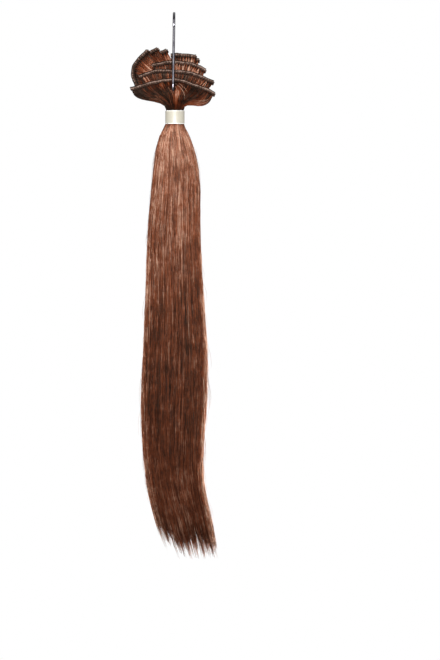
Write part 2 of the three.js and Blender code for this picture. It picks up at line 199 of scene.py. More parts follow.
stretched = add_node(tree, "ShaderNodeMapping", inputs={"Vector": place, "Scale": (9000.0, 9000.0, 250.0)})
marks = add_node(tree, "ShaderNodeTexNoise", inputs={"Vector": stretched.outputs[0], "Scale": 1.0})
relief = add_node(
    tree, "ShaderNodeBump", inputs={"Height": marks.outputs["Fac"], "Strength": 0.12, "Distance": 0.0001}
)
shader = add_node(
    tree,
    "ShaderNodeBsdfPrincipled",
    inputs={
        "Base Color": plating.outputs[2],
        "Metallic": 1.0,
        "Roughness": gloss.outputs["Result"],
        "Normal": relief.outputs["Normal"],
    },
)
add_node(tree, "ShaderNodeOutputMaterial", inputs={"Surface": shader.outputs["BSDF"]})

points, faces = bars(wire[None], wire_radii[None], WIRE_SIDES, across=(1.0, 0.0, 0.0))
hook = add_mesh("hook_wire", points, faces, black_nickel)
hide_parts("wire_hook")

# The tail: hair of one length, combed straight, gripped by the band and free below it. It is laid in
# locks that draw together at their tips. A dark core stands for the inner hair, and fine bars lie
# over it as the strands that the eye sees. They are drawn about eight times as thick as real hair.
NECK_BELOW_HOOK = 11.4
NECK_Z = -(HOOK_REACH + NECK_BELOW_HOOK)
BAND_WIDTH = 19.4
BAND_DEPTH = 18.0
BAND_HEIGHT = 13.5
BAND_BOTTOM_Z = NECK_Z - BAND_HEIGHT
BUNDLE_X = 1.4
TAIL_LENGTH = 431.0
TAIL_WIDTH = 66.0
TAIL_DEPTH = 26.0
TAIL_LOCKS = 26
LOCKS_GATHER_FROM = 0.86  # as a share of the length, as all places down the tail are
# How far down, shift to the side, width and depth, as shares of the three sizes of the tail.
TAIL_SECTIONS = np.array(
    [
        (-0.031, 0.0, 0.255, 0.6),
        (0.0, 0.0, 0.262, 0.61),
        (0.009, -0.003, 0.322, 0.68),
        (0.019, -0.006, 0.4, 0.76),
        (0.056, 0.004, 0.568, 0.86),
        (0.128, 0.016, 0.717, 0.95),
        (0.233, -0.012, 0.785, 1.0),
        (0.384, -0.005, 0.874, 1.0),
        (0.533, 0.004, 0.974, 1.0),
        (0.64, -0.011, 1.0, 1.0),
        (0.747, -0.027, 0.93, 0.96),
        (0.842, 0.018, 0.864, 0.9),
        (0.93, 0.152, 0.85, 0.78),
        (1.0, 0.27, 0.8, 0.55),
    ]
)
# How far down the hair reaches from the left edge, at -1, to the right, at 1: it was cut on a slant.
TIP_SLANT = ((-1, 0.922), (-0.95, 0.93), (-0.85, 0.966), (-0.45, 0.986), (0.1, 0.988), (1, 0.984))
STRAND_RADIUS = 0.3
STRAND_SIDES = 3
rng = np.random.default_rng(11)


def smooth_through(stations, values, at):
    """A smooth curve through values at rising stations, read at each place in at."""
    slopes = np.gradient(values, stations)
    i = np.clip(np.searchsorted(stations, at, side="right") - 1, 0, len(stations) - 2)
    span = stations[i + 1] - stations[i]
    t = (at - stations[i]) / span
    rise = 3 * t**2 - 2 * t**3
    enter = (t**3 - 2 * t**2 + t) * span * slopes[i]
    leave = (t**3 - t**2) * span * slopes[i + 1]
    return values[i] * (1 - rise) + values[i + 1] * rise + enter + leave


def tail_point(down, angle, reach):
    """A point of the tail: down its length, round its edge, and out from its middle."""
    shift, width, depth = (smooth_through(TAIL_SECTIONS[:, 0], row, down) for row in TAIL_SECTIONS.T[1:])
    x = BUNDLE_X + shift * TAIL_WIDTH + reach * width * TAIL_WIDTH / 2 * np.cos(angle)
    y = reach * depth * TAIL_DEPTH / 2 * np.sin(angle)
    return np.stack(np.broadcast_arrays(x, y, BAND_BOTTOM_Z - down * TAIL_LENGTH), axis=-1)


def tail_end(angle):
    """How far down the hair reaches round the tail: on the slant, with a ragged edge."""
    across = np.cos(angle)
    slant = np.interp(across, *np.transpose(TIP_SLANT))
    return slant + 0.008 * np.sin(14 * across + 2) + 0.01 * np.sin(31 * across + 1)


def dyed_hair(name, ior, gleam):
    """Dyed human hair: each strand keeps one tone between dark brown, chestnut and copper, with shifts
    of 16 mm down to 1 mm along it, where it turns in the light. Where it is combed flat its smooth
    cuticle gleams more, and the dye warms that."""
    material, tree = new_material(name)
    tone = add_node(tree, "ShaderNodeAttribute", {"attribute_name": "tone"}).outputs["Fac"]
    place = add_node(tree, "ShaderNodeTexCoord").outputs["Object"]
    glints = add_node(
        tree,
        "ShaderNodeTexNoise",
        inputs={"Vector": place, "Scale": 60.0, "Detail": 4.0, "Roughness": 0.85},
    )
    shift = add_node(
        tree, "ShaderNodeMath", {"operation": "MULTIPLY_ADD"}, {0: glints.outputs["Fac"], 1: 1.1, 2: -0.55}
    )
    tone = add_node(
        tree, "ShaderNodeMath", {"operation": "ADD", "use_clamp": True}, {0: tone, 1: shift.outputs[0]}
    )
    tones = add_node(tree, "ShaderNodeValToRGB", inputs={"Fac": tone.outputs[0]})
    for at in (0.35, 0.7):
        tones.color_ramp.elements.new(at)
    for stop, hex_colour in zip(tones.color_ramp.elements, ("#130704", "#5a2611", "#914b2b", "#cea68e")):
        stop.color = linear(hex_colour)
    shader = add_node(
        tree,
        "ShaderNodeBsdfPrincipled",
        inputs={
            "Base Color": tones.outputs["Color"],
            "Roughness": 0.4,
            "IOR": ior,
            "Specular IOR Level": gleam,
            "Specular Tint": linear("#f3ccb1"),
        },
    )
    add_node(tree, "ShaderNodeOutputMaterial", inputs={"Surface": shader.outputs["BSDF"]})
    return material


combed_hair = dyed_hair("combed_chestnut_hair", 1.65, 0.8)

# The core: a closed skin with shallow furrows, rounded off above the tips.
CORE_STEPS = 110
CORE_SIDES = 156
CORE_TOP = -0.02
CORE_END = 0.935
CORE_REACH = 0.93  # of the way from the tail's middle to its outside, just under the strands
CORE_ROUNDS_FROM = 0.77
CORE_ROUNDS_OVER = 0.167
down = np.linspace(CORE_TOP, CORE_END, CORE_STEPS)[:, None]
angle = (np.arange(CORE_SIDES) * 2 * math.pi / CORE_SIDES)[None]
furrows = 0.02 * np.cos(TAIL_LOCKS * angle + 3 * np.sin(9 * down)) + 0.012 * np.cos(61 * angle + 7 * down)
fade = np.clip((down - CORE_TOP) / 0.08, 0, 1)
rounding = np.clip((down - CORE_ROUNDS_FROM) / CORE_ROUNDS_OVER, 0, 1)
taper = np.sqrt(np.clip(1 - rounding**3, 0, 1))
core = tail_point(down, angle, (CORE_REACH + furrows * fade) * taper).reshape(-1, 3)
walls = ring_walls(CORE_STEPS, CORE_SIDES)
caps = [np.arange(CORE_SIDES)[None], (len(core) - 1 - np.arange(CORE_SIDES))[None]]
flow = np.stack(np.broadcast_arrays(angle * 24, 0 * down, down * TAIL_LENGTH), axis=-1).reshape(-1, 3)

# Dyed hair in the shade of the strands over it: dark, dull, with streaks about as fine as they are,
# 0.6 mm wide and 50 mm long.
inner_hair, tree = new_material("inner_hair")
place = add_node(tree, "ShaderNodeAttribute", {"attribute_name": "flow"}).outputs["Vector"]
stretched = add_node(tree, "ShaderNodeMapping", inputs={"Vector": place, "Scale": (1.6, 1.0, 0.02)})
streaks = add_node(
    tree, "ShaderNodeTexNoise", inputs={"Vector": stretched.outputs[0], "Scale": 1.0, "Detail": 4.0}
)
colour = add_node(
    tree,
    "ShaderNodeMix",
    {"data_type": "RGBA"},
    {"Factor": streaks.outputs["Fac"], 6: linear("#1c0d08"), 7: linear("#5a3020")},
)
relief = add_node(
    tree, "ShaderNodeBump", inputs={"Height": streaks.outputs["Fac"], "Strength": 0.6, "Distance": 0.0006}
)
shader = add_node(
    tree,
    "ShaderNodeBsdfPrincipled",
    inputs={"Base Color": colour.outputs[2], "Roughness": 0.5, "Normal": relief.outputs["Normal"]},
)
add_node(tree, "ShaderNodeOutputMaterial", inputs={"Surface": shader.outputs["BSDF"]})
tail_core = add_mesh("tail_core", core, [walls, *caps], inner_hair, flow=flow)
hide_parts("hair_tail")

lock_tones = rng.uniform(-1, 1, TAIL_LOCKS)
# Strands that lie together share a tone: one for each 1.3 mm round the tail and 19 mm down it.
CLUMPS_ROUND = 120
CLUMPS_DOWN = 24
clump_tones = rng.uniform(-1, 1, (CLUMPS_ROUND, CLUMPS_DOWN))
# Painted light and shade down the tail: how much lighter the strands are, from the band, where they lie
# in its shade, through the painted light under the head, which falls away down the tail, to the thin
# tips, painted lighter where light comes through them.
PAINTED_LENGTH_LIGHT = (
    (0, -0.2), (0.006, 0.28), (0.05, 0.34), (0.2, 0.32), (0.35, 0.16), (0.6, 0.06), (0.8, 0.22),
    (0.94, 0.43), (1, 0.62),
)


def clump_tone(angle, down):
    """The shared tone at a place, which changes smoothly down the tail."""
    column = np.floor(angle / (2 * math.pi) * CLUMPS_ROUND).astype(int)[:, None] % CLUMPS_ROUND
    row = np.clip(down, 0, 0.999) * (CLUMPS_DOWN - 1)
    above = np.floor(row).astype(int)
    mix = row - above
    return clump_tones[column, above] * (1 - mix) + clump_tones[column, above + 1] * mix


def lay_in_tail(angle, down, reach):
    """Points of strands that start round the tail at an angle and gather into locks at the tips."""
    lock = np.floor(angle / (2 * math.pi) * TAIL_LOCKS).astype(int)
    middle = (lock + 0.5) * 2 * math.pi / TAIL_LOCKS
    gather = 0.05 + 0.5 * np.clip((down - LOCKS_GATHER_FROM) / (1 - LOCKS_GATHER_FROM), 0, 1) ** 2
    turns = rng.uniform(10, 30, len(down))[:, None]
    phase = rng.uniform(0, 6.3, len(down))[:, None]
    wave = 0.02 * np.sin(down * turns + phase) + rng.normal(0, 0.008, down.shape)
    around = angle[:, None] + (middle - angle)[:, None] * gather + wave * np.clip(down * 8, 0, 1)
    relief = 0.012 * np.cos((angle - middle) * TAIL_LOCKS)[:, None]
    free = np.clip(down / 0.03, 0, 1)
    reach = (reach + relief) * free + np.minimum(reach, 0.96) * (1 - free)
    return tail_point(down, around, reach), lock % TAIL_LOCKS


def strand_mesh(paths, angle, down, thick, lock, name):
    """Strands of one tone each, with painted light and shade down the tail, and painted rim light at both
    sides of the tail, which are so thin that light comes through."""
    count = len(down)
    low = np.clip((down - 0.6) / 0.3, 0, 1)
    tones = 0.06 * lock_tones[lock] + 0.02 + 0.6 * rng.uniform(0, 1, count) ** 1.4
    painted_length_light = np.interp(down, *np.transpose(PAINTED_LENGTH_LIGHT))
    glint = (0.19 - 0.07 * low) * clump_tone(angle, down) + rng.normal(0, 0.09, down.shape)
    # Painted rim light: strands at the two sides of the tail are drawn lighter, the right side more, where
    # light would come through them from behind.
    side = np.clip((np.abs(np.cos(angle)) - 0.84) / 0.12, 0, 1) * np.where(np.cos(angle) > 0, 0.55, 0.35)
    painted_rim_light = side[:, None] * np.clip((down - 0.2) / 0.2, 0, 1)
    tones = np.clip(tones[:, None] * (1 - 0.25 * low) + painted_length_light + glint + painted_rim_light, 0, 1)
    points, faces = bars(paths, thick, STRAND_SIDES, rng.uniform(0, 2, count))
    add_mesh(name, points, faces, combed_hair, np.repeat(tones.ravel(), STRAND_SIDES))


# Strands from the band to the tips. The shares are where a bar has a ring: closest at the band.
LONG_STRANDS = 1300
STRAND_STEPS = np.array(
    (0, 0.018, 0.028, 0.042, 0.07, 0.13, 0.22, 0.33, 0.45, 0.57, 0.68, 0.78, 0.86, 0.93, 1)
)
angle = rng.uniform(0, 2 * math.pi, LONG_STRANDS)
end = tail_end(angle) - rng.exponential(0.02, LONG_STRANDS)
down = CORE_TOP + STRAND_STEPS[None] * (end - CORE_TOP)[:, None]
reach = rng.uniform(0.9, 0.985, LONG_STRANDS)[:, None] + 0.01 * np.sin(down * 30 + angle[:, None] * 9)
paths, lock = lay_in_tail(angle, down, reach)
slim = np.interp(STRAND_STEPS, [0, 0.8, 1], [1, 0.9, 0.2])
thick = STRAND_RADIUS * rng.uniform(0.6, 1.2, LONG_STRANDS)[:, None] * slim
strand_mesh(paths, angle, down, thick, lock, "tail_long_strands")

# Lengths of strand that come up out of the mass, run on top for a centimetre or more and dive again.
SURFACED = 7600
share = np.linspace(0, 1, 4)
for name in ("tail_strands_left", "tail_strands_right"):
    half_turn = 0.5 * math.pi if name.endswith("left") else -0.5 * math.pi
    angle = half_turn + rng.uniform(0, math.pi, SURFACED)
    end = rng.uniform(0.02, 1.0, SURFACED) ** 0.95 * tail_end(angle) - rng.exponential(0.012, SURFACED)
    length = rng.uniform(0.03, 0.15, SURFACED) * np.clip(0.35 + 3 * end, 0.35, 1)
    start = np.maximum(end - length, -0.015)
    down = start[:, None] + share * (end - start)[:, None]
    rise = rng.uniform(0.05, 0.095, SURFACED)[:, None] * np.sin(math.pi * share) ** 0.6
    paths, lock = lay_in_tail(angle, down, 0.91 + rise)
    slim = 0.3 + 0.7 * np.sin(math.pi * share)
    thick = STRAND_RADIUS * rng.uniform(0.5, 1.15, SURFACED)[:, None] * slim
    strand_mesh(paths, angle, down, thick, lock, name)

# Wisps: the cut ends, each a few thin strands that run together to a point.
WISPS = 170
WISP_STRANDS = 14
WISP_RADIUS = 0.22
LOOSE_WISPS = 9
share = np.linspace(0, 1, 6)
wisp_angle = rng.uniform(0, 2 * math.pi, WISPS)
wisp_reach = rng.uniform(0.55, 1.0, WISPS)
wisp_end = np.minimum(tail_end(wisp_angle) - 0.015 + rng.exponential(0.017, WISPS), 1.01)
# A few at the left edge hang clear of the rest and reach lower.
wisp_angle[:LOOSE_WISPS] = math.pi + rng.uniform(-0.28, 0.28, LOOSE_WISPS)
wisp_reach[:LOOSE_WISPS] = rng.uniform(0.985, 1.03, LOOSE_WISPS)
wisp_end[:LOOSE_WISPS] = rng.uniform(0.935, 0.975, LOOSE_WISPS)
wisp = np.repeat(np.arange(WISPS), WISP_STRANDS)
spread = rng.uniform(-1, 1, len(wisp))
end = wisp_end[wisp] - 0.025 * spread**2 - rng.exponential(0.006, len(wisp))
start = rng.uniform(0.8, 0.9, len(wisp))
down = start[:, None] + share * (end - start)[:, None]
close = np.interp(down, [0.8, 0.9, 1.0], [0.13, 0.07, 0.008])
around = wisp_angle[wisp][:, None] + spread[:, None] * close
reach = np.clip(wisp_reach[wisp] + rng.uniform(-0.06, 0.06, len(wisp)), 0, 1.03)[:, None]
paths = tail_point(down, around, np.where(share < 0.1, 0.85, reach))
slim = np.interp(share, [0, 0.6, 1], [1, 0.8, 0.2])
thick = WISP_RADIUS * rng.uniform(0.6, 1.1, len(wisp))[:, None] * slim
strand_mesh(paths, wisp_angle[wisp], down, thick, wisp % TAIL_LOCKS, "tail_wisps")

# Flyaways: short fine hairs that stand a little off the tail all round.
FLYAWAYS = 1500
FLYAWAY_RADIUS = 0.11
angle = rng.uniform(0, 2 * math.pi, FLYAWAYS)
start = rng.uniform(0.01, 0.86, FLYAWAYS)
length = rng.uniform(0.02, 0.1, FLYAWAYS)
down = np.minimum(start[:, None] + share * length[:, None], tail_end(angle)[:, None])
lift = rng.exponential(0.03, FLYAWAYS)[:, None] * np.sin(share * rng.uniform(1.2, 3.0, FLYAWAYS)[:, None])
paths, lock = lay_in_tail(angle, down, 0.985 + np.minimum(lift, 0.13))
thick = FLYAWAY_RADIUS * np.interp(share, [0, 0.7, 1], [1, 0.8, 0.3])[None]
strand_mesh(paths, angle, down, thick, lock, "tail_flyaways")

# The band: one strip of coated ivory paper wound round the neck, its end glued down at the back. The
# coat gives it a soft shine, and the cut edges show the whiter paper inside.
BAND_OVERLAP = math.radians(48)
BAND_STEPS = 150
PAPER_THICKNESS = 0.32
GLUED_STEP = 0.18  # the turn over which the overlap rises on the strip's start
turn = np.linspace(0, 2 * math.pi + BAND_OVERLAP, BAND_STEPS)
angle = math.pi / 2 - BAND_OVERLAP / 2 - turn
over = PAPER_THICKNESS * np.clip((turn - (2 * math.pi - GLUED_STEP)) / GLUED_STEP, 0, 1)
rim = 0.22  # how far down each rim is rounded
half = BAND_HEIGHT / 2
# Inset from the outside and height above the band's middle, round the section of the strip, whose
# rims are rounded and whose face is hollowed by the pull of the winding.
section = np.array(
    [
        (0.35, half - 0.02),
        (0.12, half),
        (0.0, half - rim),
        (0.06, half - 3 * rim),
        (0.08, 0.0),
        (0.06, -half + 3 * rim),
        (0.0, -half + rim),
        (0.12, -half),
        (0.35, -half + 0.02),
        (0.5, -half + rim),
        (0.5, half - rim),
    ]
)
inset = section[None, :, 0] - over[:, None]
x = BUNDLE_X + (BAND_WIDTH / 2 - inset) * np.cos(angle)[:, None]
y = (BAND_DEPTH / 2 - inset) * np.sin(angle)[:, None]
z = np.broadcast_to((NECK_Z - half + section[:, 1])[None], x.shape)
points = np.stack([x, y, z], axis=-1).reshape(-1, 3)
sides = len(section)
walls = ring_walls(BAND_STEPS, sides)
caps = [np.arange(sides)[None], (len(points) - 1 - np.arange(sides))[None]]

# Coated paper: ivory and even, with faint fibres about 1 mm long, and white at its cut edges.
coated_paper, tree = new_material("coated_ivory_paper")
place = add_node(tree, "ShaderNodeTexCoord").outputs["Object"]
fibres = add_node(tree, "ShaderNodeTexNoise", inputs={"Vector": place, "Scale": 900.0, "Detail": 5.0})
height = add_node(tree, "ShaderNodeSeparateXYZ", inputs={"Vector": place}).outputs["Z"]
from_middle = add_node(
    tree, "ShaderNodeMath", {"operation": "SUBTRACT"}, {0: height, 1: (NECK_Z - half) * 0.001}
)
from_middle = add_node(tree, "ShaderNodeMath", {"operation": "ABSOLUTE"}, {0: from_middle.outputs[0]})
edge = add_node(
    tree,
    "ShaderNodeMapRange",
    inputs={
        "Value": from_middle.outputs[0],
        "From Min": (half - 0.9) * 0.001,
        "From Max": (half - 0.5) * 0.001,
    },
)
speckle = add_node(
    tree,
    "ShaderNodeMix",
    {"data_type": "RGBA"},
    {"Factor": fibres.outputs["Fac"], 6: linear("#beb8a7"), 7: linear("#cbc6b7")},
)
colour = add_node(
    tree,
    "ShaderNodeMix",
    {"data_type": "RGBA"},
    {"Factor": edge.outputs["Result"], 6: speckle.outputs[2], 7: linear("#fbfaf6")},
)
relief = add_node(
    tree, "ShaderNodeBump", inputs={"Height": fibres.outputs["Fac"], "Strength": 0.15, "Distance": 0.0001}
)
shader = add_node(
    tree,
    "ShaderNodeBsdfPrincipled",
    inputs={
        "Base Color": colour.outputs[2],
        "Roughness": 0.38,
        "IOR": 1.5,
        "Coat Weight": 0.3,
        "Coat Roughness": 0.2,
        "Normal": relief.outputs["Normal"],
    },
)
add_node(tree, "ShaderNodeOutputMaterial", inputs={"Surface": shader.outputs["BSDF"]})
band = add_mesh("band_paper", points, [walls, *caps], coated_paper)
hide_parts("paper_band")

# The wefts: hair folded over a thread and machine sewn into a flat track, eight of them laid on each
# other and bent into fans. Below its track the hair springs out in tufts between the stitches, then
# draws together into the band.
FREE_HAIR = 68.0
TRACK_THICKNESS = 1.4
TRACK_LEAN = 0.1
LAYER_PITCH = 3.4
NECK_BOW = 0.3  # how much the wefts wrap round the bundle in the band
NECK_GAP = 0.45
HAIR_THICKNESS = 1.0
HAIR_RIPPLE = 0.3
RIPPLE = math.radians(13)
FIT = 0.3
SPRING = 0.25  # for the middle of each track, as WEFTS gives it for the ends
STITCH_PITCH = 2.6
HAIR_START = 2.5  # down from the track's line, under its tape
HAIR_END = 2.5  # below the band's top rim
HAIR_INSET = 1.7  # in from the band's outside
HAIR_FILLS = 0.86  # how much of the band's depth the wefts fill
HELD_WITHIN = 0.91  # how much of the band's outside the hair may reach at its rim
FLARE = 5.5  # how much wider the hair lies where it turns down
TURN_DOWN = 18.0  # how high over the band it starts to turn down
STRANDS_PER_MM = 7.5
STRAND_PLACES = (0, 0.025, 0.05, 0.08, 0.12, 0.17, 0.24, 0.33, 0.44, 0.57, 0.72, 0.86, 0.94, 1)
WEFT_STRAND_RADIUS = 0.27
SKIN_COLUMN = 1.4
SKIN_ROWS = 16
HOLE = (-0.5, 0, -73.6)  # where the wire parts the hair of the front weft

# Fall: how light the hair is at FALL_PLACES, from its track down to the neck. The front wefts shade
# the middle ones there, and the back ones stand free and arch into the light.
FALL_PLACES = (0, 0.05, 0.1, 0.22, 0.4, 0.7, 1)
MIDDLE_FALL = (0.4, 1.2, 1.5, 0.9, 0.5, 0.4, 0.3)
BACK_FALL = (0.1, 0.3, 0.7, 1.0, 1.1, 0.8, 0.3)
# The wefts from front to back. Layer is how far back each lies, and bulge how far its hair bows out to
# the front, both in pitches of LAYER_PITCH. Spring is how straight the hair leaves the track's two
# ends. Crown is the station that passes behind the shank. Clips are places along the track. Fall is
# the painted light and shade down the hair, at FALL_PLACES. Tone is how light the hair is: its own
# colour with painted light and shade, darkest on the front weft and lighter on the back ones. Gleams
# are painted highlights, patches of lighter hair where it catches the light: middle and half width as
# shares of the track, how light, then middle and half height as shares of the way down to the neck.
# Stations give swing about the neck in degrees, reach as a share of FREE_HAIR, and how far back in
# pitches.
WEFTS = [
    {
        "name": "1", "layer": 0, "bulge": 1.15, "spring": (0.4, 0.68), "crown": 2, "clips": (0.2, 0.8),
        "fall": (0.3, 1.0, 1.2, 1.0, 0.8, 0.6, 0.3),
        "tone": -0.34,
        "gleams": (
            (0.555, 0.085, 1.1, 0.52, 0.25), (0.955, 0.055, 0.8, 0.5, 0.4), (0.33, 0.08, 0.5, 0.12, 0.12),
        ),
        "stations": (
            (-63, 0.735, 0.6), (-47, 0.583, 0.1), (-3.4, 0.47, 0), (44.8, 0.516, 0.1), (66, 0.65, 0.6),
        ),
    },
    {
        "name": "2", "layer": 0.18, "bulge": 0, "spring": (0.25, 0.4), "crown": 2, "clips": (0.2, 0.8),
        "fall": MIDDLE_FALL,
        "tone": -0.1,
        "gleams": ((0.9, 0.1, 0.65, 0, 0.4), (0.08, 0.06, 0.4, 0, 0.4), (0.66, 0.05, 0.35, 0, 0.3)),
        "stations": (
            (-46, 0.744, 0.6), (-26.5, 0.662, 0.1), (-2.7, 0.598, 0), (30, 0.63, 0.1), (53.3, 0.716, 0.6),
        ),
    },
    {
        "name": "3", "layer": 0.5, "bulge": 0, "spring": (0.25, 0.4), "crown": 1, "clips": (0.55,),
        "fall": MIDDLE_FALL, "tone": 0.08, "gleams": ((0.6, 0.14, 0.6, 0, 0.4), (0.85, 0.12, 0.5, 0, 0.4)),
        "stations": ((-25.7, 0.766, 0.2), (0.7, 0.733, 0), (20.8, 0.744, 0), (37, 0.768, 0.1)),
    },
    {
        "name": "4", "layer": 1.12, "bulge": 0, "spring": (0.25, 0.3), "crown": 0, "clips": (0.5,),
        "fall": MIDDLE_FALL, "tone": 0.15, "gleams": ((0.75, 0.16, 0.5, 0, 0.4),),
        "stations": ((-4, 0.835, 0), (9.7, 0.849, 0), (20.8, 0.881, 0.1)),
    },
    {
        "name": "5", "layer": 2.34, "bulge": 0, "spring": (0.25, 0.3), "crown": 0, "clips": (0.5,),
        "fall": MIDDLE_FALL, "tone": 0.25, "gleams": ((0.85, 0.12, 0.5, 0, 0.4),),
        "stations": ((-1, 0.8, 0), (13, 0.815, 0), (25.2, 0.843, 0.1)),
    },
    {
        "name": "6", "layer": 2.6, "bulge": 0, "spring": (0.25, 0.25), "crown": 3, "clips": (0.55,),
        "fall": BACK_FALL, "tone": 0.3, "gleams": ((0.45, 0.3, 0.3, 0.35, 0.25),),
        "stations": ((-58.7, 0.682, 0), (-50, 0.834, 0), (-40.1, 0.932, 0), (-24.8, 0.995, 0)),
    },
    {
        "name": "7", "layer": 3.32, "bulge": 0, "spring": (0.25, 0.25), "crown": 3, "clips": (0.55,),
        "fall": BACK_FALL, "tone": 0.3, "gleams": ((0.7, 0.3, 0.3, 0.35, 0.25),),
        "stations": ((-53, 0.7, 0), (-43, 0.83, 0), (-30, 0.925, 0), (-16, 0.978, 0)),
    },
    {
        "name": "8", "layer": 4.32, "bulge": 0, "spring": (0.25, 0.25), "crown": 3, "clips": (0.55,),
        "fall": BACK_FALL, "tone": 0.25, "gleams": ((0.8, 0.2, 0.45, 0.15, 0.3),),
        "stations": ((-47, 0.7, 0), (-36, 0.8, 0), (-22, 0.885, 0), (-8.1, 0.928, 0)),
    },
]


def behind_shank(z):
    """How far back a track at this height has to lie to clear the hook's shank."""
    shank_y = TOP_BEND_RADIUS / math.cos(shank_tilt) + (z - top_bend_z) * math.tan(shank_tilt)
    return shank_y + WIRE_RADIUS / math.cos(shank_tilt) + FIT + TRACK_THICKNESS / 2


def smooth_line(corners, count):
    """Evenly spaced points of a centripetal curve through the corners, and the curve's length."""
    ends = np.concatenate([[2 * corners[0] - corners[1]], corners, [2 * corners[-1] - corners[-2]]])
    t = np.linspace(0, 1, 60)[:, None]
    pieces = []
    for i in range(len(corners) - 1):
        p0, p1, p2, p3 = ends[i : i + 4]
        d0, d1, d2 = (np.linalg.norm(q - p) ** 0.5 for p, q in ((p0, p1), (p1, p2), (p2, p3)))
        m1 = d1 * ((p1 - p0) / d0 - (p2 - p0) / (d0 + d1) + (p2 - p1) / d1)
        m2 = d1 * ((p2 - p1) / d1 - (p3 - p1) / (d1 + d2) + (p3 - p2) / d2)
        near = (2 * t**3 - 3 * t**2 + 1) * p1 + (t**3 - 2 * t**2 + t) * m1
        pieces.append(near + (3 * t**2 - 2 * t**3) * p2 + (t**3 - t**2) * m2)
    line = np.concatenate(pieces)
    passed = np.concatenate([[0], np.cumsum(np.linalg.norm(np.diff(line, axis=0), axis=1))])
    at = np.linspace(0, passed[-1], count)
    return np.stack([np.interp(at, passed, line[:, k]) for k in range(3)], axis=1), passed[-1]


# The line of each track, which its tape hangs from, and the directions along it and to the neck.
LINE_STEPS = 400
for weft in WEFTS:
    swing, reach, back = np.array(weft["stations"]).T
    x = BUNDLE_X + reach * FREE_HAIR * np.sin(np.radians(swing))
    z = NECK_Z + reach * FREE_HAIR * np.cos(np.radians(swing))
    y = behind_shank(z[weft["crown"]]) + (weft["layer"] + back) * LAYER_PITCH
    weft["line"], weft["length"] = smooth_line(np.stack([x, y, z], axis=1), LINE_STEPS)
    weft["along"] = unit(np.gradient(weft["line"], axis=0))
    flat = unit(weft["along"] * (1, 0, 1))
    weft["inward"] = unit(np.stack([flat[:, 2], np.full(LINE_STEPS, -TRACK_LEAN), -flat[:, 0]], axis=1))


def along_track(weft, u):
    """Points, directions along and directions to the neck at shares u of a track, also past its ends."""
    inside = np.clip(u, 0, 1)
    steps = np.arange(LINE_STEPS)
    line, along, inward = (
        np.stack([np.interp(inside * (LINE_STEPS - 1), steps, weft[key][:, k]) for k in range(3)], axis=-1)
        for key in ("line", "along", "inward")
    )
    return line + along * ((u - inside) * weft["length"])[..., None], along, inward


def hair_sheet(weft, index, u, v):
    """The middle of a weft's hair at u along the track and v down to the neck, and its thickness."""
    line, _, inward = along_track(weft, u)
    start = line + inward * HAIR_START
    pitch = BAND_DEPTH / len(WEFTS) - FIT / 2
    layer_y = (index - (len(WEFTS) - 1) / 2) * pitch
    across = 2 * u - 1
    from_middle = across * math.sqrt(1 - (2 * layer_y / (BAND_DEPTH + pitch)) ** 2)
    wrap = 1 - NECK_BOW * from_middle**2
    end_x = BUNDLE_X + from_middle * (BAND_WIDTH / 2 - HAIR_INSET)
    end = np.stack([end_x, layer_y * wrap * HAIR_FILLS, 0 * u + NECK_Z - HAIR_END], axis=-1)
    spring = np.where(across < 0, weft["spring"][0], weft["spring"][1])
    spring = SPRING + (spring - SPRING) * across**2
    leave = start + inward * (spring * np.linalg.norm(start - end, axis=-1))[..., None]
    enter = end + np.stack([across * FLARE, 0 * u, 0 * u + TURN_DOWN], axis=-1)
    t = v[..., None]
    sheet = (1 - t) ** 3 * start + 3 * (1 - t) ** 2 * t * leave + 3 * (1 - t) * t**2 * enter + t**3 * end
    height = (sheet[..., 2] - end[..., 2]) / (start[..., 2] - end[..., 2])
    # The sheet bows and ripples most half way down. The swing is about a point inside the band.
    swell = np.sin(math.pi * v)
    swing = np.arctan2(sheet[..., 0] - BUNDLE_X, sheet[..., 2] - NECK_Z + 6)
    sheet[..., 1] = end[..., 1] + (start[..., 1] - end[..., 1]) * height
    sheet[..., 1] -= weft["bulge"] * LAYER_PITCH * swell * (1 - across**2)
    sheet[..., 1] += HAIR_RIPPLE * swell * np.sin(2 * math.pi * swing / RIPPLE)
    thickness = (pitch * wrap - NECK_GAP) * (1 - height) + HAIR_THICKNESS * height
    return sheet, thickness


def part_round_wire(paths, room):
    """Pushes strands sideways, so that they pass the wire with room round its middle."""
    flat = paths.reshape(-1, 3)
    near = np.full(len(flat), np.inf)
    aside = np.zeros(len(flat))
    for point in wire[::2]:
        gap = np.linalg.norm(flat - point, axis=1)
        closer = gap < near
        near[closer] = gap[closer]
        aside[closer] = (flat[:, 0] - point[0])[closer]
    push = np.clip(room - near, 0, None) * 1.3 * np.where(aside < 0, -1, 1)
    return paths + (push[:, None] * (1, 0, 0)).reshape(paths.shape)


def hold_in_band(points):
    """Keeps hair inside the paper where it enters the band, and lets it flare out above."""
    height = np.clip(points[..., 2] - NECK_Z, 0, None)
    share = np.hypot((points[..., 0] - BUNDLE_X) / (BAND_WIDTH / 2), points[..., 1] / (BAND_DEPTH / 2))
    room = HELD_WITHIN + 0.04 * height + 0.5 * np.clip(height - 1, 0, None) ** 2
    held = np.minimum(1, room / np.maximum(share, 0.01))
    middle = np.array((BUNDLE_X, 0, 0))
    return middle + (points - middle) * np.stack([held, held, np.ones_like(held)], axis=-1)


# The same hair, ruffled where it leaves the seams, so that it gleams less.
sewn_in_hair = dyed_hair("sewn_in_chestnut_hair", 1.5, 0.25)

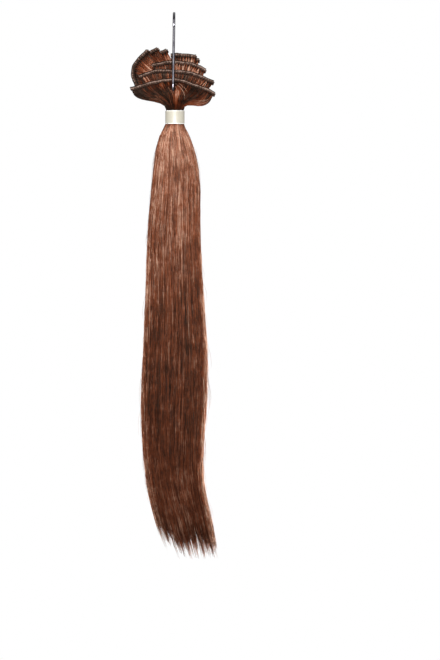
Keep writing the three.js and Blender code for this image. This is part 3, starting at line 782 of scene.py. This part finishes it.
for index, weft in enumerate(WEFTS):
    # The sheet under the strands, one closed skin.
    columns = int(weft["length"] / SKIN_COLUMN)
    u, v = np.meshgrid(np.linspace(0.006, 0.994, columns), np.linspace(0, 1, SKIN_ROWS))
    sheet, thickness = hair_sheet(weft, index, u, v)
    offset = np.stack([0 * u, thickness * 0.22, 0 * u], axis=-1)
    ring = np.concatenate([sheet - offset, (sheet + offset)[:, ::-1]], axis=1)
    sides = ring.shape[1]
    under = hold_in_band(part_round_wire(ring, WIRE_RADIUS + 0.5)).reshape(-1, 3)
    skin = ring_walls(SKIN_ROWS, sides)
    i = np.arange(columns - 1)
    top_cap = np.stack([i, i + 1, sides - 2 - i, sides - 1 - i], axis=1)
    low_cap = (SKIN_ROWS - 1) * sides + top_cap[:, ::-1]
    # The strands, gathered into one tuft between each two stitches.
    count = int(weft["length"] * STRANDS_PER_MM)
    u = rng.uniform(0.003, 0.997, count)
    tufts = max(int(weft["length"] / STITCH_PITCH), 2)
    tuft = np.floor(u * tufts)
    middle = (tuft + 0.5 + rng.uniform(-0.15, 0.15, tufts)[tuft.astype(int)]) / tufts
    v = np.array(STRAND_PLACES)
    gather = 0.85 * np.exp(-((v / 0.08) ** 2)) + 0.08
    wander = rng.normal(0, 0.5, count)[:, None] / weft["length"]
    wander = wander * np.sin(v * rng.uniform(2, 7, count)[:, None])
    across = np.clip(u[:, None] + (middle - u)[:, None] * gather + wander, 0.0, 1.0)
    paths, thickness = hair_sheet(weft, index, across, np.broadcast_to(v, across.shape))
    layer = rng.choice([-1, 1], count, p=[0.62, 0.38]) * rng.uniform(0.25, 0.7, count)
    paths[..., 1] += layer[:, None] * thickness
    paths = hold_in_band(part_round_wire(paths, WIRE_RADIUS + 0.8))
    slim = np.interp(v, [0, 0.1, 0.6, 1], [0.8, 1, 0.9, 0.6])
    radii = WEFT_STRAND_RADIUS * rng.uniform(0.6, 1.15, count)[:, None] * slim
    tuft_tone = rng.uniform(-0.25, 0.25, tufts)[tuft.astype(int)]
    # Painted light and shade: the weft's tone, its fall down to the neck and its gleams, over random tones
    # for each tuft and strand.
    tones = weft["tone"] + tuft_tone + 0.65 * rng.uniform(0, 1, count) ** 2.5
    tones = tones[:, None] * np.interp(v, FALL_PLACES, weft["fall"])
    for at, half, light, at_height, half_height in weft["gleams"]:
        patch = np.exp(-(((u[:, None] - at) / half) ** 2) - ((v - at_height) / half_height) ** 2)
        tones = tones + light * patch * rng.uniform(0.5, 1.1, count)[:, None]
    if weft is WEFTS[0]:
        # The hair round the hole lies in its shade.
        from_hole = np.linalg.norm((paths - HOLE)[..., [0, 2]] / (2.8, 4.2), axis=-1)
        tones = tones - 1.2 * np.exp(-(from_hole**2))
    tones = np.clip(tones, 0, 1)
    strand_points, strand_faces = bars(paths, radii, STRAND_SIDES, rng.uniform(0, 2, count))
    points = np.concatenate([under, strand_points])
    faces = [skin, top_cap, low_cap, *(group + len(under) for group in strand_faces)]
    tones = np.concatenate([np.zeros(len(under)), np.repeat(tones.ravel(), STRAND_SIDES)])
    fan = add_mesh(f"weft_{weft['name']}_hair", points, faces, sewn_in_hair, tones)
    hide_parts(f"weft_hair_{weft['name']}")

# The tracks: the folded top of each weft, pressed flat and sewn twice, with its cut ends folded back.
# The seams hold the hair ends down.
END_FOLD = 7.5
SEAM_SHARE = 0.985  # of the track's length, so that the seams stop short of its ends
THREAD_RADII = (0.12, 0.2, 0.12)  # pulled thin where it enters the tape
THREAD_SIDES = 5

# Hair pressed to a tape: crushed and dull, with grain 0.7 mm long, and the thread's fluff greys it.
sewn_hair, tree = new_material("sewn_track_hair")
tone = add_node(tree, "ShaderNodeAttribute", {"attribute_name": "tone"}).outputs["Fac"]
place = add_node(tree, "ShaderNodeTexCoord").outputs["Object"]
grain = add_node(tree, "ShaderNodeTexNoise", inputs={"Vector": place, "Scale": 1500.0, "Detail": 3.0})
shift = add_node(
    tree, "ShaderNodeMath", {"operation": "MULTIPLY_ADD"}, {0: grain.outputs["Fac"], 1: 0.7, 2: -0.35}
)
tone = add_node(
    tree, "ShaderNodeMath", {"operation": "ADD", "use_clamp": True}, {0: tone, 1: shift.outputs[0]}
)
tones = add_node(tree, "ShaderNodeValToRGB", inputs={"Fac": tone.outputs[0]})
tones.color_ramp.elements.new(0.5)
for stop, hex_colour in zip(tones.color_ramp.elements, ("#0c0604", "#40291f", "#8f7a70")):
    stop.color = linear(hex_colour)
relief = add_node(
    tree, "ShaderNodeBump", inputs={"Height": grain.outputs["Fac"], "Strength": 0.8, "Distance": 0.0003}
)
shader = add_node(
    tree,
    "ShaderNodeBsdfPrincipled",
    inputs={
        "Base Color": tones.outputs["Color"],
        "Roughness": 0.6,
        "Specular IOR Level": 0.3,
        "Specular Tint": linear("#f3ccb1"),
        "Normal": relief.outputs["Normal"],
    },
)
add_node(tree, "ShaderNodeOutputMaterial", inputs={"Surface": shader.outputs["BSDF"]})

# Polyester thread, spun and a little glossy, in a greyer brown than the hair. Its plies are drawn
# 0.5 mm long.
thread, tree = new_material("polyester_thread")
place = add_node(tree, "ShaderNodeTexCoord").outputs["Object"]
plies = add_node(tree, "ShaderNodeTexNoise", inputs={"Vector": place, "Scale": 2200.0, "Detail": 2.0})
colour = add_node(
    tree,
    "ShaderNodeMix",
    {"data_type": "RGBA"},
    {"Factor": plies.outputs["Fac"], 6: linear("#120b08"), 7: linear("#4d3b31")},
)
shader = add_node(
    tree,
    "ShaderNodeBsdfPrincipled",
    inputs={"Base Color": colour.outputs[2], "Roughness": 0.5, "Specular IOR Level": 0.25},
)
add_node(tree, "ShaderNodeOutputMaterial", inputs={"Surface": shader.outputs["BSDF"]})

# Down from the track's line, back from its middle as a share of half its thickness, and tone: a
# light line runs a little below the top edge, where the folded hair catches the light.
TAPE_BACK = [
    (-0.3, 0.75, -0.05),
    (0.1, 1.0, 0.2),
    (0.65, 0.8, 0.95),
    (1.3, 0.95, 0.55),
    (2.1, 1.0, 0.25),
    (2.8, 0.8, 0.05),
    (3.2, 0.3, 0.0),
]
tape_front = [(down, -back, tone) for down, back, tone in reversed(TAPE_BACK)]
TAPE_SECTION = np.array([(-0.45, 0.0, -0.1), *TAPE_BACK, *tape_front])


def track_drift(weft, u):
    """How far a sewn edge wanders from its line towards the neck, at shares u of the track."""
    place = u * weft["length"]
    return 0.28 * np.sin(place / 4.7 + weft["layer"] * 3) + 0.16 * np.sin(place / 1.9 + weft["layer"] * 7)


def tape(weft, start, end, out, back, half):
    """A strip of track from start to end as shares of its length, as points, faces and tones. Out is
    how far it stands over the track's line, and half is half its thickness."""
    steps = max(int((end - start) * weft["length"] / 0.55), 8)
    u = np.linspace(start, end, steps)
    line, _, inward = along_track(weft, u)
    phase = 2 * math.pi * u * weft["length"] / STITCH_PITCH
    drift = track_drift(weft, u) + rng.normal(0, 0.06, steps)
    into = TAPE_SECTION[None, :, 0] + (drift - out)[:, None]
    # Between the stitches the lower edge stands down, and the hair swells.
    into = into + 0.25 * np.sin(phase)[:, None] * (TAPE_SECTION[:, 0] > 2.5)
    points = line[:, None] + inward[:, None] * into[..., None]
    bump = 1 + 0.14 * np.cos(phase)[:, None] + rng.normal(0, 0.08, points.shape[:2])
    points[..., 1] += back + TAPE_SECTION[:, 1] * half * bump
    # Painted light and shade at each stitch: the tape is lighter where it swells and darker in the gaps
    # between, most on its lower part.
    stitch_light_and_shade = 0.05 + 0.2 * (TAPE_SECTION[:, 0] > 1)
    wear = 0.16 * np.sin(u * weft["length"] / 2.3 + 5 * np.sin(u * 9)) + rng.normal(0, 0.1, steps)
    shade = 0.08 * min(weft["layer"], 3)
    tones = TAPE_SECTION[:, 2] + stitch_light_and_shade * np.cos(phase)[:, None] + wear[:, None] - shade
    tones = tones + rng.normal(0, 0.16, tones.shape)
    sides = len(TAPE_SECTION)
    caps = [np.arange(sides)[None, ::-1], (steps - 1) * sides + np.arange(sides)[None]]
    return points.reshape(-1, 3), [ring_walls(steps, sides, turned=True), *caps], tones.ravel()


# One strip is the tape. The two others are its cut ends, folded back and a little out of line.
for weft in WEFTS:
    per_mm = 1 / weft["length"]
    strips = [
        tape(weft, 0.0, 1.0, 0.0, 0.0, TRACK_THICKNESS / 2 - 0.1),
        tape(weft, -0.4 * per_mm, END_FOLD * per_mm, 0.35, 0.75, 0.4),
        tape(weft, 1 - END_FOLD * per_mm, 1 + 1.0 * per_mm, -1.3, 0.75, 0.4),
    ]
    first = np.cumsum([0] + [len(strip[0]) for strip in strips])
    points = np.concatenate([strip[0] for strip in strips])
    faces = [group + at for strip, at in zip(strips, first) for group in strip[1]]
    tones = np.concatenate([strip[2] for strip in strips])
    track = add_mesh(f"weft_{weft['name']}_track", points, faces, sewn_hair, tones)
    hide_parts(f"weft_track_{weft['name']}")

    # Zigzag seams on both faces, and a straight seam under the top edge: how many stitches, how far
    # down their two ends lie, how far those stray, and how far the seam stands out of the tape.
    pitches = int(weft["length"] / STITCH_PITCH)
    zigzag = (2 * pitches, 1.4, 3.4, 0.15, TRACK_THICKNESS / 2)
    straight = (4 * pitches, 0.2, 0.3, 0.05, TRACK_THICKNESS / 2 * 0.85)
    runs = []
    for face in (-1, 1):
        for stitches, high, low, stray, proud in (zigzag, straight):
            corner = np.arange(stitches + 1)
            u = corner / stitches * SEAM_SHARE + (1 - SEAM_SHARE) / 2
            line, _, inward = along_track(weft, u)
            into = np.where(corner % 2, low, high) + track_drift(weft, u) + rng.normal(0, stray, len(u))
            run = line + inward * into[:, None]
            run[:, 1] += face * proud
            runs.append(np.stack([run[:-1], (run[:-1] + run[1:]) / 2, run[1:]], axis=1))
    points, faces = bars(np.concatenate(runs), np.array([THREAD_RADII]), THREAD_SIDES)
    add_mesh(f"weft_{weft['name']}_thread", points, faces, thread)

# Stray hairs that slipped out of the seams: some cross the front weft, others stand off the edges.
# Those of the back wefts, which no other weft holds down, cross more of the fan.
STRAYS = 340
STRAY_RADIUS = 0.1
CROSSING_RADIUS = 0.14
SHARES = np.linspace(0, 1, 10)
strays = []
for number in range(STRAYS):
    index = number % len(WEFTS)
    weft = WEFTS[index]
    drift = 0.16 if weft["crown"] == 3 else 0.05
    u = rng.uniform(0.02, 0.98) + rng.normal(0, drift) * SHARES
    v = rng.uniform(0.0, 0.5) + rng.uniform(0.15, 0.45) * SHARES
    path, thickness = hair_sheet(weft, index, np.clip(u, 0, 1), np.clip(v, 0, 1))
    side = -1 if rng.uniform() < 0.7 else 1
    path[:, 1] += side * (0.9 * thickness + 0.9 * np.sin(math.pi * SHARES) * rng.uniform(0.2, 1))
    strays.append(hold_in_band(part_round_wire(path, WIRE_RADIUS + 0.6)))
# A few thicker ones cross the front weft, from the hole round the wire and at its right end: start
# and end along the track, then start and end on the way down.
for start, stop, high, low in (
    (0.53, 0.74, 0.1, 0.5),
    (0.55, 0.79, 0.14, 0.62),
    (0.52, 0.66, 0.2, 0.7),
    (0.58, 0.72, 0.08, 0.3),
    (0.97, 0.93, 0.1, 0.45),
    (0.985, 0.96, 0.12, 0.5),
    (0.955, 0.9, 0.15, 0.4),
):
    u = start + (stop - start) * SHARES
    path, thickness = hair_sheet(WEFTS[0], 0, u, high + (low - high) * SHARES)
    path[:, 1] -= 0.8 * thickness + 0.5 * np.sin(math.pi * SHARES)
    strays.append(path)
crossing = np.arange(len(strays)) >= STRAYS
slim = np.interp(SHARES, [0, 0.7, 1], [1, 0.9, 0.5])
radii = np.where(crossing, CROSSING_RADIUS, STRAY_RADIUS)[:, None] * slim
points, faces = bars(np.array(strays), radii, STRAND_SIDES)
tones = np.where(crossing, 1.0, rng.uniform(0.35, 0.85, len(strays)))
tones = np.repeat(tones, len(SHARES) * STRAND_SIDES)
add_mesh("weft_stray_hairs", points, faces, sewn_in_hair, tones)

# The snap clips: stamped spring steel with a brown enamel, sewn behind the tracks. A long frame
# carries a tongue between two slots, and teeth along its lower edge bite into the wearer's hair.
CLIP_LENGTH = 24.0
CLIP_WIDTH = 6.4
CLIP_THICKNESS = 1.0
CLIP_SLOT = 1.1
CLIP_TOOTH = 2.0
CLIP_TEETH = 5
CLIP_FIT = 0.4
CLIP_ROUNDING = 0.14

# Enamel on stamped steel: dark brown and glossy, with a slight orange peel of 1.4 mm, and worn
# lighter in spots of 3 mm and less.
enamelled_steel, tree = new_material("brown_enamel_on_steel")
place = add_node(tree, "ShaderNodeTexCoord").outputs["Object"]
orange_peel = add_node(tree, "ShaderNodeTexNoise", inputs={"Vector": place, "Scale": 700.0, "Detail": 2.0})
wear = add_node(tree, "ShaderNodeTexNoise", inputs={"Vector": place, "Scale": 300.0, "Detail": 4.0})
wear_and_highlight = add_node(
    tree, "ShaderNodeMapRange", inputs={"Value": wear.outputs["Fac"], "From Min": 0.62, "From Max": 0.7}
)
colour = add_node(
    tree,
    "ShaderNodeMix",
    {"data_type": "RGBA"},
    {"Factor": wear_and_highlight.outputs["Result"], 6: linear("#33241d"), 7: linear("#5c4639")},
)
relief = add_node(
    tree,
    "ShaderNodeBump",
    inputs={"Height": orange_peel.outputs["Fac"], "Strength": 0.1, "Distance": 0.0002},
)
shader = add_node(
    tree,
    "ShaderNodeBsdfPrincipled",
    inputs={
        "Base Color": colour.outputs[2],
        "Roughness": 0.32,
        "Coat Weight": 0.5,
        "Normal": relief.outputs["Normal"],
    },
)
add_node(tree, "ShaderNodeOutputMaterial", inputs={"Surface": shader.outputs["BSDF"]})


def clip_outline():
    """The clip's edge, as corners in millimetres, and the two slots beside its tongue."""
    half_width = CLIP_WIDTH / 2
    comb = CLIP_LENGTH / 2 - half_width
    right = np.linspace(-math.pi / 2, math.pi / 2, 13)
    edge = [(comb + half_width * math.cos(a), half_width * math.sin(a)) for a in right]
    edge += [(-comb - half_width * math.cos(a), -half_width * math.sin(a)) for a in right]
    pitch = 2 * comb / CLIP_TEETH
    for i in range(CLIP_TEETH):
        left = -comb + pitch * (i + 0.25)
        for x, y in ((0, 0), (0.12, 0.8), (0.3, 1), (0.7, 1), (0.88, 0.8), (1, 0)):
            edge.append((left + x * pitch / 2, -half_width - y * CLIP_TOOTH))
    slots = []
    for side in (-1, 1):
        y = side * half_width / 2
        turn = np.linspace(math.pi / 2, -math.pi / 2, 7)
        reach = comb - CLIP_SLOT / 2
        ends = [(reach + CLIP_SLOT / 2 * math.cos(a), y + CLIP_SLOT / 2 * math.sin(a)) for a in turn]
        ends += [(-reach - CLIP_SLOT / 2 * math.cos(a), y - CLIP_SLOT / 2 * math.sin(a)) for a in turn]
        slots.append(ends)
    return [edge, *slots]


for weft in WEFTS:
    for letter, at in zip("ab", weft["clips"]):
        curve = bpy.data.curves.new("clip_edge", "CURVE")
        curve.dimensions = "2D"
        curve.fill_mode = "BOTH"
        curve.extrude = (CLIP_THICKNESS / 2 - CLIP_ROUNDING) * 0.001
        curve.bevel_depth = CLIP_ROUNDING * 0.001
        curve.bevel_resolution = 1
        for corners in clip_outline():
            spline = curve.splines.new("POLY")
            spline.points.add(len(corners) - 1)
            for point, (x, y) in zip(spline.points, corners):
                point.co = (x * 0.001, y * 0.001, 0, 1)
            spline.use_cyclic_u = True
        stamped = bpy.data.objects.new("clip_edge", curve)
        bpy.context.scene.collection.objects.link(stamped)
        mesh = bpy.data.meshes.new_from_object(stamped.evaluated_get(bpy.context.evaluated_depsgraph_get()))
        bpy.data.objects.remove(stamped)
        line, along, inward = (rows[0] for rows in along_track(weft, np.array([at])))
        along = Vector(along)
        up = -Vector(inward)
        up = (up - up.project(along)).normalized()
        front = along.cross(up)
        # The straight clip lies clear of the bent track: low enough and far enough behind it.
        reach = CLIP_LENGTH / 2 / weft["length"]
        offsets = along_track(weft, at + np.linspace(-1, 1, 9) * reach)[0] - line
        drop = max(0, (offsets @ inward).max())
        stand_off = max(0, (-offsets @ np.array(front)).max())
        seat = Vector(line) + Vector(inward) * (CLIP_WIDTH / 2 + drop)
        seat -= front * (TRACK_THICKNESS / 2 + CLIP_FIT + CLIP_THICKNESS / 2 + stand_off)
        mesh.transform(Matrix((along, up, front)).transposed().to_4x4())
        mesh.transform(Matrix.Translation(seat * 0.001))
        mesh.materials.clear()
        mesh.materials.append(enamelled_steel)
        clip = bpy.data.objects.new(f"clip_{weft['name']}{letter}_steel", mesh)
        bpy.context.scene.collection.objects.link(clip)
        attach(clip, "root")
        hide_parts(f"snap_clip_{weft['name']}{letter}")

# The studio, in metres: the set hangs in a bright white room with a pale floor far below. A lamp
# stands close before the head, so that it is lit most and the light falls away down the tail, with a
# tall one beside it and a wide one above. Weak ones behind line the hair's edges. The camera looks
# level at the middle of the picture.
FLOOR_Z = -1.45
FLOOR_HALF = 6
VIEW_CENTRE = (0.0465, 0.0, -0.3154)
CAMERA_DISTANCE = 8.0
PICTURE_HEIGHT = 0.66
SENSOR_WIDTH = 36.0

floor_mesh = bpy.data.meshes.new("floor")
floor_corners = [(x * FLOOR_HALF, y * FLOOR_HALF, FLOOR_Z) for x, y in ((-1, -1), (1, -1), (1, 1), (-1, 1))]
floor_mesh.from_pydata(floor_corners, [], [(0, 1, 2, 3)])
floor = bpy.data.objects.new("floor", floor_mesh)
bpy.context.scene.collection.objects.link(floor)
# Matt floor paint, white with a faint mottle 30 cm across from the roller.
floor_paint, tree = new_material("matt_white_floor")
place = add_node(tree, "ShaderNodeTexCoord").outputs["Object"]
mottle = add_node(tree, "ShaderNodeTexNoise", inputs={"Vector": place, "Scale": 3.0})
colour = add_node(
    tree,
    "ShaderNodeMix",
    {"data_type": "RGBA"},
    {"Factor": mottle.outputs["Fac"], 6: linear("#f6f6f6"), 7: linear("#ffffff")},
)
shader = add_node(
    tree, "ShaderNodeBsdfPrincipled", inputs={"Base Color": colour.outputs[2], "Roughness": 0.9}
)
add_node(tree, "ShaderNodeOutputMaterial", inputs={"Surface": shader.outputs["BSDF"]})
floor_mesh.materials.append(floor_paint)

# The room's light by direction: brightest from behind the set. The camera sees it all white.
world = bpy.data.worlds.new("white_room")
world.use_nodes = True
tree = world.node_tree
tree.nodes.clear()
direction = add_node(tree, "ShaderNodeTexCoord").outputs["Generated"]
depth = add_node(tree, "ShaderNodeSeparateXYZ", inputs={"Vector": direction}).outputs["Y"]
room_light = add_node(
    tree,
    "ShaderNodeMapRange",
    inputs={"Value": depth, "From Min": 0.0, "From Max": 0.8, "To Min": 0.2, "To Max": 0.45},
)
seen = add_node(tree, "ShaderNodeLightPath").outputs["Is Camera Ray"]
strength = add_node(tree, "ShaderNodeMix", inputs={"Factor": seen, 2: room_light.outputs["Result"], 3: 1.0})
white = add_node(
    tree, "ShaderNodeBackground", inputs={"Color": (1, 1, 1, 1), "Strength": strength.outputs[0]}
)
add_node(tree, "ShaderNodeOutputWorld", inputs={"Surface": white.outputs["Background"]})
bpy.context.scene.world = world

# Name, place, what it points at, width, height and watts.
for name, place, target, width, height, power in (
    ("key_lamp", (0.0, -0.36, -0.03), (0.0, 0.0, -0.13), 0.14, 0.14, 1.45),
    ("strip_lamp", (-0.25, -0.8, -0.05), (0.0, 0.0, -0.1), 0.05, 0.6, 1.2),
    ("top_lamp", (0.0, -0.5, 0.38), (0.0, 0.0, -0.04), 1.2, 0.25, 1.6),
    ("right_rim_lamp", (0.4, 0.25, -0.5), (0.0, 0.0, -0.42), 0.15, 0.34, 1.25),
    ("left_rim_lamp", (-0.4, 0.25, -0.5), (0.0, 0.0, -0.42), 0.15, 0.34, 0.6),
    ("back_rim_lamp", (0.0, 0.5, 0.1), (0.0, 0.0, -0.1), 0.4, 0.2, 0.5),
):
    lamp = bpy.data.lights.new(name, "AREA")
    lamp.shape = "RECTANGLE"
    lamp.size = width
    lamp.size_y = height
    lamp.energy = power
    # The rim lamps are narrow and out of the reflections: they graze the edges and flood nothing.
    lamp.spread = math.radians(50 if "rim" in name else 180)
    holder = bpy.data.objects.new(name, lamp)
    holder.location = place
    holder.rotation_euler = (Vector(target) - Vector(place)).to_track_quat("-Z", "Y").to_euler()
    holder.visible_camera = False
    holder.visible_glossy = "rim" not in name
    bpy.context.scene.collection.objects.link(holder)

camera_data = bpy.data.cameras.new("camera")
camera_data.sensor_width = SENSOR_WIDTH
camera_data.lens = SENSOR_WIDTH * CAMERA_DISTANCE / PICTURE_HEIGHT
camera = bpy.data.objects.new("camera", camera_data)
camera.location = (VIEW_CENTRE[0], -CAMERA_DISTANCE, VIEW_CENTRE[2])
camera.rotation_euler = (math.pi / 2, 0, 0)
bpy.context.scene.collection.objects.link(camera)
bpy.context.scene.camera = camera
# Plain sRGB, so that the white room stays white.
bpy.context.scene.view_settings.view_transform = "Standard"
